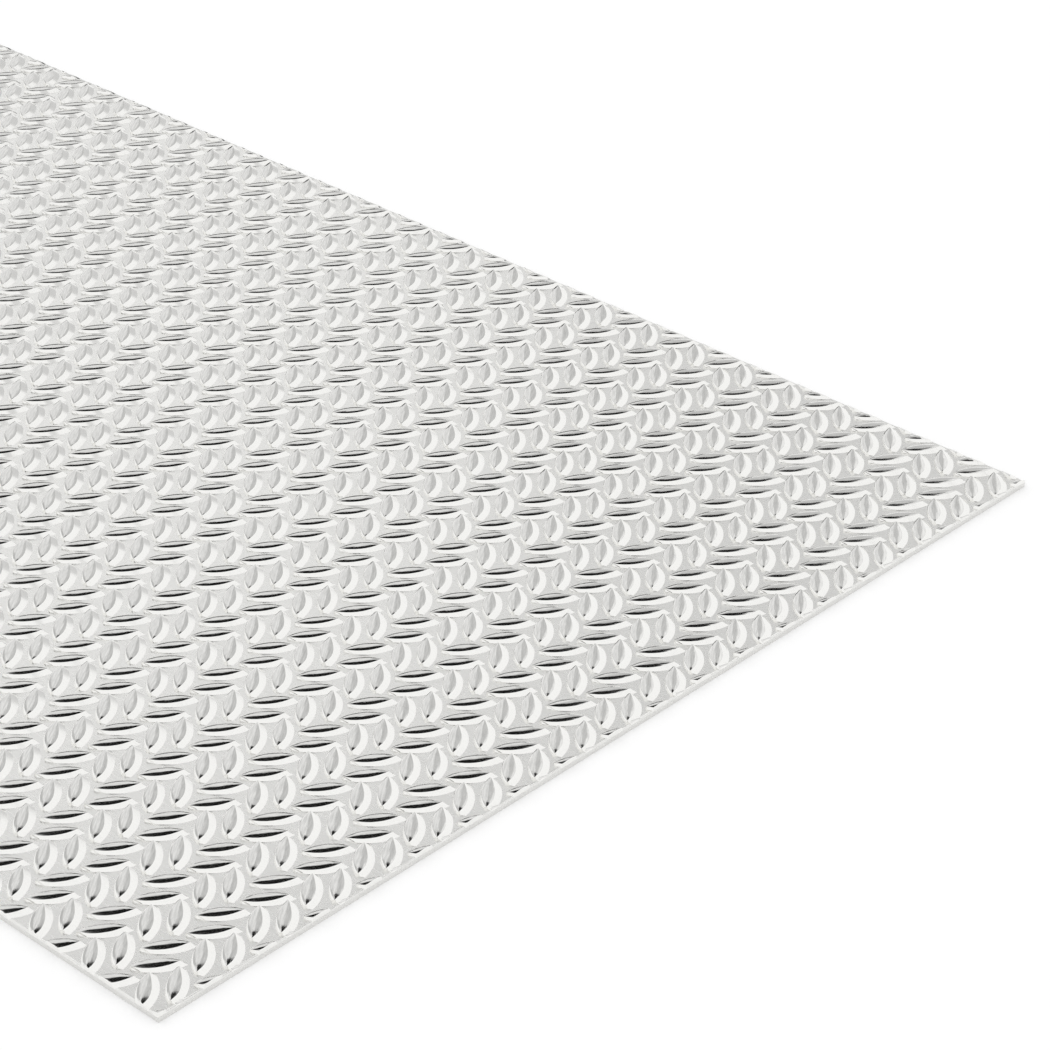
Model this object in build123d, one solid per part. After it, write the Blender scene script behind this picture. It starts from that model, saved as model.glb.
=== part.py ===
# Checker plate, also sold as tread plate: one piece of rolled sheet, cut to size on a shear.
#
# The plate lies flat with its tread side up. X runs across its width, Y along its length,
# and the origin is the centre of its flat underside. Every length is in millimetres.
#
# The tread's small raised bars are fine relief and aren't part of this solid. It holds the
# plate's outline, its thickness between the bars, and the four edges as the shear leaves them.

from build123d import *
from math import radians, tan
import os

# Driving dimensions
plate_width = 250.0
plate_length = 500.0
plate_thickness = 1.5

# The shear's cut, from the tread side down: the skin rolls over the edge, the blade then
# wipes a smooth upright band, and the rest tears and leans in towards the underside.
roll_over_depth = 0.35
roll_over_reach = 0.40
smooth_band_height = 0.45
tear_lean_angle = 4.0


def cut_section(span):
    """Cross-section of the plate over a span, with a sheared edge at both ends."""
    side = span / 2
    smooth_top = plate_thickness - roll_over_depth
    smooth_foot = smooth_top - smooth_band_height
    lean = smooth_foot * tan(radians(tear_lean_angle))
    roll_start = side - roll_over_reach
    underside = Line((0, 0), (side - lean, 0))
    torn_band = Line(underside @ 1, (side, smooth_foot))
    smooth_band = Line(torn_band @ 1, (side, smooth_top))
    roll_over = EllipticalCenterArc(
        (roll_start, smooth_top), roll_over_reach, roll_over_depth, arc_size=90
    )
    tread_side = Line(roll_over @ 1, (0, plate_thickness))
    middle = Line(tread_side @ 1, underside @ 0)
    right_half = make_face([underside, torn_band, smooth_band, roll_over, tread_side, middle])
    return right_half + mirror(right_half, about=Plane.YZ)


def make_plate():
    """The plate's solid: both cross-sections, run the full way and kept where they meet."""
    across = extrude(Plane.XZ * cut_section(plate_width), plate_length / 2, both=True)
    along = extrude(Plane.YZ * cut_section(plate_length), plate_width / 2, both=True)
    return across & along


os.makedirs("parts", exist_ok=True)
plate = make_plate()
print("plate size", plate.bounding_box().size, "volume", round(plate.volume, 1))
export_step(plate, "parts/tread_plate.step")
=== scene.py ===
# %% [markdown]
# # A small cut sheet of checker plate
#
# Checker plate, or tread plate, is one sheet of metal. The last roll of the mill has rows
# of small pockets cut into it, and as the hot sheet passes, its skin is pressed up into
# them. The back stays flat. The sheet is then cut to size on a shear.
#
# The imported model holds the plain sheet: its outline, its thickness between the bars and
# its four sheared edges. This script adds the tread, the finish of the metal and the studio.

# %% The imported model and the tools
import bmesh
import bpy
import math
from mathutils import Matrix, Vector


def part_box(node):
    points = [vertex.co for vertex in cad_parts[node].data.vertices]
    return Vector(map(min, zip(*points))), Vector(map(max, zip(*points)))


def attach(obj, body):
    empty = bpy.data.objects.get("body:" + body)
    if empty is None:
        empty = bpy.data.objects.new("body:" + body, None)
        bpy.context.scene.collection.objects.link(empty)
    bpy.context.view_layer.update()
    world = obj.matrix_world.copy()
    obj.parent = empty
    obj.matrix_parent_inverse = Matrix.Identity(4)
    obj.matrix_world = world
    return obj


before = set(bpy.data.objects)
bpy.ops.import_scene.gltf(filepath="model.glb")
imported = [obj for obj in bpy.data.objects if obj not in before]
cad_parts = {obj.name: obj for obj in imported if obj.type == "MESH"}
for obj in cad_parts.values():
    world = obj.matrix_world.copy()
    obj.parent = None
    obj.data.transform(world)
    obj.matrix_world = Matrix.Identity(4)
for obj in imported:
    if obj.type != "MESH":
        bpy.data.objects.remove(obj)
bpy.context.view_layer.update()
MM = 0.001
plate_low, plate_high = (Vector(corner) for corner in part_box("tread_plate"))
plate_size = plate_high - plate_low
print("plate, mm:", [round(side / MM, 2) for side in plate_size])

# %% [markdown]
# ## The repeat of the tread
#
# The bars stand in pairs. Two leaning one way are followed by two leaning the other way,
# and each pair is stepped, so that no straight line can slide between them. Four bars make
# one repeat, and everything else is copies of it. Across the plate the photograph shows a
# little over nineteen repeats from cut to cut. Measured along the plate, the repeat is
# a tenth longer.
#
# A shear never cuts quite in line with the rolled pattern. Here the first whole repeat
# starts a part of a repeat in from the corner, and the tread is turned by a seventh of a
# degree to the cut.

# %% Size of one repeat, where the first one falls, and its turn
repeats_across = 19.054
repeat_across = plate_size.x / repeats_across
repeat_along = 1.099 * repeat_across
first_repeat = Vector((0.6905 * repeat_across, 0.7815 * repeat_along))
tread_turn = math.radians(-0.136)
print("repeat, mm:", round(repeat_across / MM, 2), "by", round(repeat_along / MM, 2))

# %% [markdown]
# ## The shape of one bar
#
# Seen from above a bar is a lens with sharp tips. Its sides aren't alike: the sheet leaves
# the rolls a little faster than the roll's own skin turns, so the pocket drags over one side
# of the bar and draws it out into a long smooth ramp, while the other side stays steep. The
# top isn't flat either. It rises from the crease above the ramp, is nearly level in the
# middle, and falls softly to a rounded rim on the far side. Towards the tips it lifts a
# little. The rise is small, but bright metal shows every degree of it: on half of the bars
# it is the dark streak that makes the tread look crisp.
#
# The bar could be sculpted, or displaced from a height picture, but a formula is shorter and
# exact. Each place along the lens gets one line of points: up the ramp, over the crown and
# down the steep side.

# %% Outline of a bar: a lens, with a little width left at its tips
bar_width = 2.36 * MM
lens_power = 2.1
tip_half_width = 0.05 * MM


def half_width_at(share):
    """Half the lens's width, at a share of its half length from the middle."""
    return bar_width / 2 * (1 - abs(share) ** lens_power) + tip_half_width


print("half width, mm:", [round(half_width_at(share) / MM, 2) for share in (0, 0.5, 1)])

# %% Section of a bar's crown: heights are above the sheet's skin, reaches are measured level
edge_height = 0.60 * MM  # of the crease above the ramp
tip_lift, tip_lift_power = 0.09 * MM, 6  # how much higher the tips are
near_rise, near_reach, near_power = 0.18 * MM, 1.15 * MM, 1.7  # the rise from the crease
near_share = 0.65  # of the width, at most, for that rise
far_drop, far_reach, far_power = 0.15 * MM, 0.80 * MM, 1.5  # the fall to the far edge


def crown_height(width, crown_share, share):
    """Height of a crown of some width, at a share of it from the crease."""
    edge = edge_height + tip_lift * abs(share) ** tip_lift_power
    near_zone = min(near_reach, near_share * width)
    near = min(width * crown_share / near_zone, 1)
    far = min(width * (1 - crown_share) / far_reach, 1)
    rise = near_rise * near_zone / near_reach * (1 - (1 - near) ** near_power)
    return edge + rise - far_drop * (1 - far) ** far_power


print("height in the middle, mm:", round(crown_height(bar_width, 0.5, 0) / MM, 2))

# %% One line of points across the bar
first_pair = (8.9 * MM, math.radians(-35.5), 0)  # length, lean and skew
second_pair = (9.5 * MM, math.radians(38.5), 0.38)
crown_shares = [0, 0.14, 0.30, 0.48, 0.66, 0.84, 1]
ramp_side, ramp_back = 0.48 * MM, 1.38 * MM  # from the lens's side to the ramp's foot
rim_steps = ((0.20 * MM, 0.055 * MM), (0.32 * MM, 0.17 * MM))  # out and down, past the far edge
steep_reach = 0.12 * MM  # from the rim to the steep side's foot


def bar_station(share, length, lean, skew):
    """Points from the ramp's foot to the steep side's foot, at a share of the half length.

    The skew makes the ramp's side of the lens fuller near one tip and slimmer near the other.
    """
    along = Vector((math.cos(lean), math.sin(lean)))
    across = Vector((-along.y, along.x))
    half_width = half_width_at(share)
    near_half = half_width * (1 - skew * share)
    width = near_half + half_width
    middle = along * (share * length / 2)
    ramp_foot = middle - across * half_width + Vector((ramp_side, -ramp_back))
    points = [(ramp_foot.x, ramp_foot.y, 0)]
    for crown_share in crown_shares:
        spot = middle + across * (width * crown_share - near_half)
        points.append((spot.x, spot.y, crown_height(width, crown_share, share)))
    for reach, drop in rim_steps:
        spot = middle + across * (half_width + reach)
        points.append((spot.x, spot.y, crown_height(width, 1, share) - drop))
    foot = spot + across * steep_reach
    points.append((foot.x, foot.y, 0))
    return points


print("points in a line:", len(bar_station(0, *first_pair)))

# %% [markdown]
# ## One repeat, as a mesh
#
# The lines of points are joined into a closed bar, with a flat bottom just under the sheet's
# skin. They stand closer together towards the tips, where the outline turns faster. Past
# each tip the bar ends in a line that lies flat on the sheet.
#
# Every ramp points back along the sheet, whichever way its bar leans, because the rolls
# dragged every bar the same way. The two pairs aren't quite mirror images: the bars of the
# second pair are longer, and fuller at the end that their ramps point to.

# %% The lines of a whole bar
stations = 13
tip_reach = 0.10 * MM


def bar_lines(length, lean, skew):
    """All lines of points of a bar, from the flat line past one tip to the one past the other."""
    lines = []
    for i in range(stations):
        share = math.sin(math.pi / 2 * (2 * i / (stations - 1) - 1))
        lines.append(bar_station(share, length, lean, skew))
    before = [(x - tip_reach, y, 0) for x, y, z in lines[0]]
    after = [(x + tip_reach, y, 0) for x, y, z in lines[-1]]
    return [before, *lines, after]


print("lines in a bar:", len(bar_lines(*first_pair)))

# %% Faces between two lines, and the edges between faces that stay sharp
def corners_between(left, right, i, left_is_flat, right_is_flat):
    """One face between two lines, or two beside a flat line, split from a raised corner.

    The edge that the two share then leaves the sheet, and the flat bottom can't share it.
    """
    quad = [left[i], right[i], right[i + 1], left[i + 1]]
    if not (left_is_flat or right_is_flat):
        return [quad]
    if left_is_flat == (i > 0):
        return [[quad[0], quad[1], quad[3]], quad[1:]]
    return [quad[:3], [quad[0], quad[2], quad[3]]]


def crease_bar(mesh, rows):
    """Stop smooth shading at both edges of the crown, and at the tips."""
    crease, far_edge = 1, len(crown_shares)
    for left, right in zip(rows, rows[1:]):
        for place in (crease, far_edge):
            mesh.edges.get((left[place], right[place])).smooth = False
    for row in (rows[1], rows[-2]):
        for one, other in zip(row, row[1:]):
            mesh.edges.get((one, other)).smooth = False


print("two faces past a tip:", corners_between("ab", "AB", 0, True, False))

# %% One closed bar
flank_slot, crown_slot = 0, 1
sunk = 0.01 * MM


def add_bar(mesh, centre, length, lean, skew):
    """Add one closed bar to a bmesh, with a map that runs along it."""
    bar_map = mesh.loops.layers.uv.verify()
    straighten = Matrix.Rotation(-lean, 2)
    rows, place_on_bar = [], {}
    for line in bar_lines(length, lean, skew):
        rows.append([mesh.verts.new((centre.x + x, centre.y + y, z - sunk)) for x, y, z in line])
        for vert, (x, y, z) in zip(rows[-1], line):
            place_on_bar[vert] = straighten @ Vector((x, y))
    for left, right in zip(rows, rows[1:]):
        flat_ends = left is rows[0], right is rows[-1]
        for i in range(len(left) - 1):
            on_crown = 0 < i < len(crown_shares) and not any(flat_ends)
            for corners in corners_between(left, right, i, *flat_ends):
                face = mesh.faces.new(corners)
                face.material_index = crown_slot if on_crown else flank_slot
                face.smooth = True
                for loop in face.loops:
                    loop[bar_map].uv = place_on_bar[loop.vert]
    crease_bar(mesh, rows)
    outline = [row[0] for row in rows] + rows[-1][1:-1]
    outline += [row[-1] for row in rows[::-1]] + rows[0][1:-1][::-1]
    bottom = mesh.faces.new(outline[::-1])
    bottom.material_index = flank_slot


trial = bmesh.new()
add_bar(trial, Vector((0, 0)), *first_pair)
open_edges = [edge for edge in trial.edges if edge.is_boundary]
print("faces in a bar:", len(trial.faces), "with open edges:", len(open_edges))
trial.free()

# %% The four bars of the repeat: where the middle of each is, in shares of it, and its kind
repeat_bars = [
    (-0.006, -0.029, *first_pair),
    (0.347, 0.156, *first_pair),
    (-0.107, 0.507, *second_pair),
    (0.538, 0.690, *second_pair),
]


def one_repeat():
    """A mesh of the four bars, with the repeat's own corner at the origin."""
    mesh = bmesh.new()
    for across, along, *bar in repeat_bars:
        add_bar(mesh, Vector((across * repeat_across, along * repeat_along)), *bar)
    shape = bpy.data.meshes.new("tread_repeat")
    mesh.to_mesh(shape)
    mesh.free()
    return shape


repeat_shape = one_repeat()
print("faces in a repeat:", len(repeat_shape.polygons))

# %% [markdown]
# ## Rows of repeats, cut off at the edges
#
# Array modifiers copy the repeat across and along. The plate is laid in strips, so that no
# single mesh grows too heavy. Each strip is then cut at the plate's four sides as the shear
# cuts it, and each cut bar is closed again with a flat cap.
#
# Close to a cut the skin has rolled over, so the foot of a bar goes down with it. The bar
# itself is thick and hardly gives way. Along the far long side the photograph shows a clean
# straight outline, so the bars there are pressed down towards the cut.

# %% How the cut bends the skin and the bars
roll_over_depth = 0.35 * MM  # of the skin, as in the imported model
roll_over_reach = 0.40 * MM
bar_stiffness = 0.95  # the share of that bend that a bar of full height resists
pressed_reach, pressed_share = 1.6 * MM, 0.25


def edge_drop(inset):
    """How far the skin has rolled down, at a distance in from the side."""
    share = min(max(1 - inset / roll_over_reach, 0), 1)
    return roll_over_depth * (1 - math.sqrt(1 - share**2))


def pressed(inset):
    """The share of a bar's height that is left, at a distance in from the pressed side."""
    share = min(max(inset / pressed_reach, 0), 1)
    return pressed_share + (1 - pressed_share) * share**2 * (3 - 2 * share)


def sheared_height(spot):
    """Where a point of the tread ends up after the cut."""
    insets = [high - at for at, high in zip(spot.xy, plate_high.xy)]
    from_far_side = insets[0]
    insets += [at - low for at, low in zip(spot.xy, plate_low.xy)]
    height = (spot.z - plate_high.z) * pressed(from_far_side)
    stiffness = bar_stiffness * min(max(height / edge_height, 0), 1)
    return plate_high.z + height - edge_drop(min(insets)) * (1 - stiffness)


drops = [edge_drop(inset * MM) / MM for inset in (0, 0.1, 0.4)]
print("skin's drop at the cut, 0.1 mm in and 0.4 mm in, mm:", [round(drop, 2) for drop in drops])

# %% Cut a strip, close it, and bend it over the edges
rolled_insets = (0.4 * MM, 0.22 * MM, 0.08 * MM, 0)
pressed_insets = (1.6 * MM, 1.2 * MM, 0.8 * MM)
on_plane = 1e-7


def cut_side(mesh, axis, side, way, insets):
    """Score a strip's mesh at some distances in from a side, and cut it off at the side."""
    normal = Vector((0, 0, 0))
    normal[axis] = way
    for inset in insets:
        spot = Vector((0, 0, 0))
        spot[axis] = side - way * inset
        bmesh.ops.bisect_plane(
            mesh,
            geom=mesh.verts[:] + mesh.edges[:] + mesh.faces[:],
            dist=on_plane,
            plane_co=spot,
            plane_no=normal,
            clear_outer=inset == 0,
        )
    open_edges = [edge for edge in mesh.edges if edge.is_boundary]
    for cap in bmesh.ops.holes_fill(mesh, edges=open_edges, sides=0)["faces"]:
        cap.material_index = flank_slot
        cap.smooth = False


def trim_to_plate(shape):
    """Cut a strip's mesh at the plate's sides and roll it over them."""
    mesh = bmesh.new()
    mesh.from_mesh(shape)
    cut_side(mesh, 0, plate_low.x, -1, rolled_insets)
    cut_side(mesh, 0, plate_high.x, 1, pressed_insets + rolled_insets)
    cut_side(mesh, 1, plate_low.y, -1, rolled_insets)
    cut_side(mesh, 1, plate_high.y, 1, rolled_insets)
    for vert in mesh.verts:
        vert.co.z = sheared_height(vert.co)
    many_sided = [face for face in mesh.faces if len(face.verts) > 4]
    bmesh.ops.triangulate(mesh, faces=many_sided)
    mesh.to_mesh(shape)
    mesh.free()


print("strips are scored, mm in from a side:", [round(inset / MM, 2) for inset in rolled_insets])

# %% Lay the strips, a little past every side
rows_in_strip = 6
columns = math.ceil(repeats_across) + 2
rows_needed = math.ceil(plate_size.y / repeat_along) + 1


def copy_repeat(strip):
    """The repeat, copied across and along by two array modifiers, as a plain mesh."""
    for step, count in (((repeat_across, 0, 0), columns), ((0, repeat_along, 0), rows_in_strip)):
        array = strip.modifiers.new("copies", "ARRAY")
        array.use_relative_offset = False
        array.use_constant_offset = True
        array.constant_offset_displace = step
        array.count = count
    bpy.context.view_layer.update()
    evaluated = strip.evaluated_get(bpy.context.evaluated_depsgraph_get())
    copies = bpy.data.meshes.new_from_object(evaluated)
    strip.modifiers.clear()
    return copies


def lay_strip(name, first_row):
    """One strip of the tread, as a mesh of its own."""
    strip = bpy.data.objects.new(name, repeat_shape.copy())
    bpy.context.collection.objects.link(strip)
    strip.data = copy_repeat(strip)
    start = Vector((-repeat_across, (first_row - 1) * repeat_along, 0))
    strip.data.transform(
        Matrix.Translation((*(plate_low.xy + first_repeat), plate_high.z))
        @ Matrix.Rotation(tread_turn, 4, "Z")
        @ Matrix.Translation(start)
    )
    trim_to_plate(strip.data)
    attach(strip, "root")
    return strip


strips = []
for first_row in range(0, rows_needed, rows_in_strip):
    strips.append(lay_strip(f"tread_strip_{len(strips) + 1}", first_row))
for strip in strips:
    strip.data.calc_loop_triangles()
    print(strip.name, "triangles:", len(strip.data.loop_triangles))

# %% [markdown]
# ## The finish
#
# The sheet has the bright, slightly milky skin that the rolls leave, with faint lines along
# the way it was rolled. The bars' drawn-out sides were burnished by the pockets and shine
# like a mirror. Their crowns are smooth too, with fine drag lines along each bar.
#
# All three are the same metal, so one function makes them, and only the shade, the haze and
# the lines differ. The lines are a noise that is squeezed across and stretched along. One
# noise sets the shade, the roughness and the bump together, as one scratch does.

# %% Where the lines lie: along the sheet, or along each bar
lines_across, lines_along_sheet, lines_along_bar = 2600, 160, 300  # in a metre
drift_across, drift_along = 90, 70


def along_sheet(nodes, links):
    """A place on the sheet, stretched along the way that it was rolled."""
    place = nodes.new("ShaderNodeTexCoord")
    stretch = nodes.new("ShaderNodeMapping")
    stretch.inputs["Scale"].default_value = (lines_across, lines_along_sheet, lines_across)
    links.new(place.outputs["Object"], stretch.inputs["Vector"])
    return stretch.outputs["Vector"]


def along_bar(nodes, links):
    """The same along a bar, with a slow drift over the sheet so that no two bars match."""
    place = nodes.new("ShaderNodeTexCoord")
    stretch = nodes.new("ShaderNodeMapping")
    stretch.inputs["Scale"].default_value = (lines_along_bar, lines_across, 1)
    drift = nodes.new("ShaderNodeVectorMath")
    drift.operation = "MULTIPLY"
    drift.inputs[1].default_value = (drift_across, drift_along, 0)
    both = nodes.new("ShaderNodeVectorMath")
    both.operation = "ADD"
    links.new(place.outputs["UV"], stretch.inputs["Vector"])
    links.new(place.outputs["Object"], drift.inputs[0])
    links.new(stretch.outputs["Vector"], both.inputs[0])
    links.new(drift.outputs["Vector"], both.inputs[1])
    return both.outputs["Vector"]


print("a line on the sheet, mm:", round(1 / lines_across / MM, 2), "wide")

# %% Metal, as a short function of its haze and its lines
metal_colour = (1, 0.995, 0.972)
bright_up_to, dull_from = 0.3, 0.75  # levels of the noise


def shade_of_metal(brightness):
    """The metal's colour at a brightness, with its opacity."""
    return (*(brightness * part for part in metal_colour), 1)


def metal(name, tint, dulling, haze, line_height, lay):
    """A bright metal with lines in it: how they lie, how high they are, how much they dull it."""
    material = bpy.data.materials.new(name)
    material.use_nodes = True
    nodes, links = material.node_tree.nodes, material.node_tree.links
    shader = nodes["Principled BSDF"]
    shader.inputs["Metallic"].default_value = 1.0
    lines = nodes.new("ShaderNodeTexNoise")
    lines.inputs["Scale"].default_value = 1.0
    lines.inputs["Detail"].default_value = 3.0
    links.new(lay(nodes, links), lines.inputs["Vector"])
    shade = nodes.new("ShaderNodeValToRGB")
    shade.color_ramp.elements[0].position = bright_up_to
    shade.color_ramp.elements[0].color = shade_of_metal(tint)
    shade.color_ramp.elements[1].position = dull_from
    shade.color_ramp.elements[1].color = shade_of_metal(tint * (1 - dulling))
    spread = nodes.new("ShaderNodeMapRange")
    spread.inputs["To Min"].default_value = haze[0]
    spread.inputs["To Max"].default_value = haze[1]
    bump = nodes.new("ShaderNodeBump")
    bump.inputs["Strength"].default_value = 1.0
    bump.inputs["Distance"].default_value = line_height
    links.new(lines.outputs["Fac"], shade.inputs["Fac"])
    links.new(shade.outputs["Color"], shader.inputs["Base Color"])
    links.new(lines.outputs["Fac"], spread.inputs["Value"])
    links.new(spread.outputs["Result"], shader.inputs["Roughness"])
    links.new(lines.outputs["Fac"], bump.inputs["Height"])
    links.new(bump.outputs["Normal"], shader.inputs["Normal"])
    return material


skin = metal("rolled_skin", 0.93, 0.03, (0.23, 0.33), 0.004 * MM, along_sheet)
flank = metal("burnished_flank", 0.91, 0.02, (0.11, 0.17), 0.0005 * MM, along_sheet)
crown = metal("bar_crown", 0.86, 0.20, (0.07, 0.15), 0.010 * MM, along_bar)
print("metals:", ", ".join(material.name for material in (skin, flank, crown)))

# %% The sheet's cut edges: torn metal, duller than the rolled skin, with painted shade on every face that turns sideways or down
# How dark the sides and cuts are painted: partly a duller torn cut, partly painted shade
shaded_cut_brightness = 0.78
all_shaded_below, all_unshaded_above = 0.1, 0.7  # of how far a face looks up
torn_and_shaded_input, rolled_input, colour_output = 6, 7, 2  # the mix node's sockets for colours


def dull_and_shade_the_cuts(material, brightness):
    """Darken a metal where it faces sideways or down: partly a duller torn cut, partly painted
    shade.
    """
    nodes, links = material.node_tree.nodes, material.node_tree.links
    shader = nodes["Principled BSDF"]
    rolled = shader.inputs["Base Color"].links[0].from_socket
    facing = nodes.new("ShaderNodeTexCoord")
    split = nodes.new("ShaderNodeSeparateXYZ")
    upward = nodes.new("ShaderNodeMapRange")
    upward.inputs["From Min"].default_value = all_shaded_below
    upward.inputs["From Max"].default_value = all_unshaded_above
    mix = nodes.new("ShaderNodeMix")
    mix.data_type = "RGBA"
    mix.inputs[torn_and_shaded_input].default_value = shade_of_metal(brightness)
    links.new(facing.outputs["Normal"], split.inputs["Vector"])
    links.new(split.outputs["Z"], upward.inputs["Value"])
    links.new(upward.outputs["Result"], mix.inputs["Factor"])
    links.new(rolled, mix.inputs[rolled_input])
    links.new(mix.outputs[colour_output], shader.inputs["Base Color"])


# Painted shade: the sheet's sides and cut edges are darkened by which way they face, partly
# standing for a duller torn cut
dull_and_shade_the_cuts(skin, shaded_cut_brightness)
print("brightness of the cuts:", shaded_cut_brightness)

# %% Give each piece its metal
for strip in strips:
    strip.data.materials.append(flank)
    strip.data.materials.append(crown)
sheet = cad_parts["tread_plate"]
for slot in sheet.material_slots:
    slot.material = skin
print("slots of a strip:", [material.name for material in strips[0].data.materials])

# %% [markdown]
# ## The studio
#
# Bright metal looks like whatever stands round it, so the surroundings are made first and
# there are no lamps at all. The plate lies on a white floor in a white room, and the room
# itself gives the light.

# %% White for what the camera and the metal see, plain light for everything else
def seen_directly(nodes, links):
    """A socket that is 1 for camera, glossy and transmission rays."""
    rays = nodes.new("ShaderNodeLightPath")
    seen = rays.outputs["Is Camera Ray"]
    for kind in ("Is Glossy Ray", "Is Transmission Ray"):
        either = nodes.new("ShaderNodeMath")
        either.operation = "MAXIMUM"
        links.new(seen, either.inputs[0])
        links.new(rays.outputs[kind], either.inputs[1])
        seen = either.outputs["Value"]
    return seen


room_light = 0.97
world = bpy.data.worlds.new("studio")
bpy.context.scene.world = world
world.use_nodes = True
nodes, links = world.node_tree.nodes, world.node_tree.links
light = nodes["Background"]
light.inputs["Color"].default_value = (1, 1, 1, 1)
light.inputs["Strength"].default_value = room_light
white = nodes.new("ShaderNodeBackground")
white.inputs["Color"].default_value = (1, 1, 1, 1)
choose = nodes.new("ShaderNodeMixShader")
links.new(seen_directly(nodes, links), choose.inputs["Fac"])
links.new(light.outputs["Background"], choose.inputs[1])
links.new(white.outputs["Background"], choose.inputs[2])
links.new(choose.outputs["Shader"], nodes["World Output"].inputs["Surface"])
print("room light:", room_light)

# %% Floor: white paper, a little brighter to the eye than the light alone makes it
floor_reach = 40.0
floor_gap = 0.02 * MM
paper_glow = 0.12
corners = [(-1, -1), (1, -1), (1, 1), (-1, 1)]
floor_points = [(floor_reach * x, floor_reach * y, 0) for x, y in corners]
floor_mesh = bpy.data.meshes.new("floor")
floor_mesh.from_pydata(floor_points, [], [(0, 1, 2, 3)])
floor = bpy.data.objects.new("floor", floor_mesh)
floor.location.z = plate_low.z - floor_gap
bpy.context.collection.objects.link(floor)
paper = bpy.data.materials.new("white_paper")
paper.use_nodes = True
nodes, links = paper.node_tree.nodes, paper.node_tree.links
shader = nodes["Principled BSDF"]
shader.inputs["Base Color"].default_value = (0.93, 0.93, 0.93, 1)
shader.inputs["Roughness"].default_value = 1.0
shader.inputs["Specular IOR Level"].default_value = 0.0
shader.inputs["Emission Color"].default_value = (1, 1, 1, 1)
lift = nodes.new("ShaderNodeMath")
lift.operation = "MULTIPLY"
lift.inputs[1].default_value = paper_glow
links.new(seen_directly(nodes, links), lift.inputs[0])
links.new(lift.outputs["Value"], shader.inputs["Emission Strength"])
floor_mesh.materials.append(paper)
print("floor, m:", 2 * floor_reach, "wide")

# %% [markdown]
# ## Cards for the metal to reflect
#
# In a room that is white all round, bright metal turns white too and loses its shape. So
# a photographer hangs grey and black cards where the metal mirrors them and the camera
# doesn't see them. Each card here fills a window of directions seen from the plate, given by
# its azimuths and elevations in degrees.
#
# - Three greys stand behind the plate, low down. They give the flat skin its pale grey, and
#   the crowns their shading. They hang on three sides, so that the plate keeps its grey from
#   other views too.
# - A black card hangs high behind the plate. The rising part of the first pair's crowns
#   mirrors it, and that is the dark streak. Where the same crowns fall to their far edge,
#   they mirror a dark card close to the floor.
# - Two black cards hang high on the left and on the right, where the sides of the second
#   pair look. A grey ceiling keeps the plate from going white when it is seen from above.

# %% A card, hung far off and hidden from the camera itself
card_distance = 4.0
card_steps, ring_steps = 8, 48  # faces in a card, and in one that goes all the way round


def card_mesh(name, azimuths, elevations):
    """A strip of faces, bent round the plate, between two azimuths and two elevations."""
    steps = ring_steps if azimuths[1] - azimuths[0] == 360 else card_steps
    points, faces = [], []
    for i in range(steps + 1):
        around = math.radians(azimuths[0] + (azimuths[1] - azimuths[0]) * i / steps)
        for elevation in elevations:
            up = math.radians(elevation)
            level = card_distance * math.cos(up)
            height = card_distance * math.sin(up)
            points.append((level * math.cos(around), level * math.sin(around), height))
        if i < steps:
            faces.append((2 * i, 2 * i + 2, 2 * i + 3, 2 * i + 1))
    mesh = bpy.data.meshes.new(name)
    mesh.from_pydata(points, [], faces)
    return mesh


def hang_card(name, azimuths, elevations, brightness):
    """A card that glows evenly, and that only mirrors see."""
    card = bpy.data.objects.new(name, card_mesh(name, azimuths, elevations))
    bpy.context.collection.objects.link(card)
    card.visible_camera = False
    card.visible_diffuse = False
    card.visible_shadow = False
    felt = bpy.data.materials.new(name)
    felt.use_nodes = True
    surface = felt.node_tree.nodes["Principled BSDF"]
    surface.inputs["Base Color"].default_value = (0, 0, 0, 1)
    surface.inputs["Specular IOR Level"].default_value = 0.0
    surface.inputs["Emission Color"].default_value = (1, 1, 1, 1)
    surface.inputs["Emission Strength"].default_value = brightness
    card.data.materials.append(felt)
    return card


print("cards hang, m:", card_distance, "from the plate")

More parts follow.
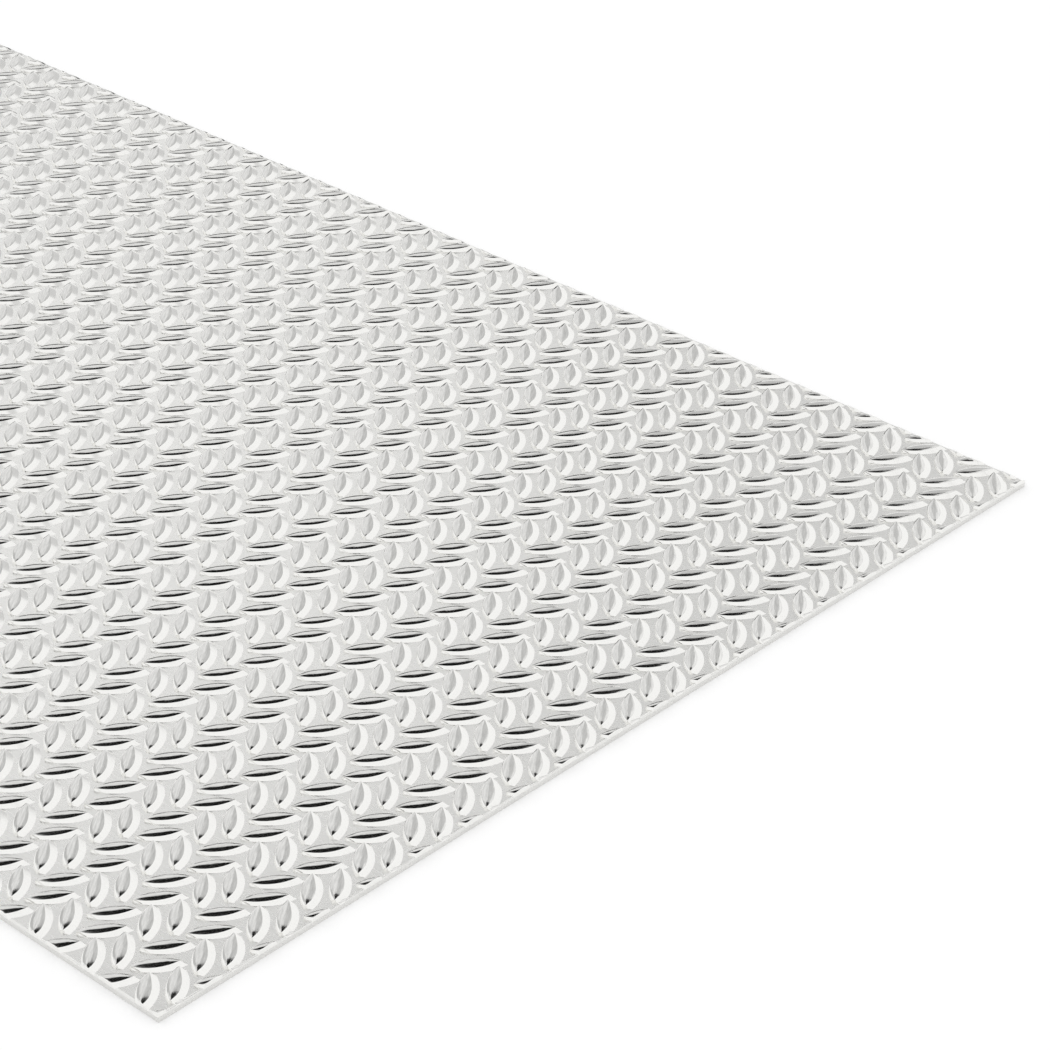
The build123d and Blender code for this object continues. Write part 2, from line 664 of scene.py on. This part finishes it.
# %% Hang the cards: name, azimuths, elevations and brightness of each
grey_elevations = (11, 47)
greys = (
    ("left_grey", (66, 75), 0.60),
    ("pale", (40, 66), 0.89),
    ("right_grey", (24, 40), 0.66),
)
singles = (
    ("low", (40, 55.5), (0.5, 13), 0.04),
    ("high", (21, 63), (45, 71), 0.01),
    ("left_high", (132, 160), (52, 66), 0.01),
    ("right_high", (296, 322), (46, 60), 0.01),
    ("ceiling", (0, 360), (79, 89.5), 0.72),
)
cards = []
for turn in (0, 90, 270):
    for name, azimuths, brightness in greys:
        ends = [turn + azimuth for azimuth in azimuths]
        cards.append(hang_card(f"{name}_card_{turn}", ends, grey_elevations, brightness))
for name, *window, brightness in singles:
    cards.append(hang_card(f"{name}_dark_card", *window, brightness))
print("cards:", ", ".join(card.name for card in cards))

# %% [markdown]
# ## The camera
#
# The photograph was taken with a long lens from about sixty centimetres, looking down at the
# plate over its front corner. The rows of bars are as good as graph paper: the camera was
# found by asking from where the nineteen repeats look as they do in the photograph. Its
# place is counted in repeats from the first one.

# %% Camera
photo_width = 1050  # in pixels, as the focal length
focal_length_px = 3500.3
stand = Vector((-23.493, -29.226, 29.284)) * repeat_across
look_azimuth, look_down, roll = math.radians(43.541), math.radians(31.106), math.radians(-0.256)

camera = bpy.data.objects.new("camera", bpy.data.cameras.new("camera"))
bpy.context.collection.objects.link(camera)
camera.data.sensor_width = 36.0
camera.data.lens = focal_length_px / photo_width * camera.data.sensor_width
camera.data.clip_start, camera.data.clip_end = 0.01, 100
camera.location = Vector((*(plate_low.xy + first_repeat), plate_high.z)) + stand
camera.rotation_euler = (
    Matrix.Rotation(look_azimuth - math.pi / 2, 3, "Z")
    @ Matrix.Rotation(math.pi / 2 - look_down, 3, "X")
    @ Matrix.Rotation(roll, 3, "Z")
).to_euler()
bpy.context.scene.camera = camera
print("lens, mm:", round(camera.data.lens, 1), "camera's distance, m:", round(stand.length, 3))

# %% [markdown]
# ## Finish
#
# The view transform is Standard, so that a colour renders about as it is written.

# %% Finish
bpy.context.scene.view_settings.view_transform = "Standard"
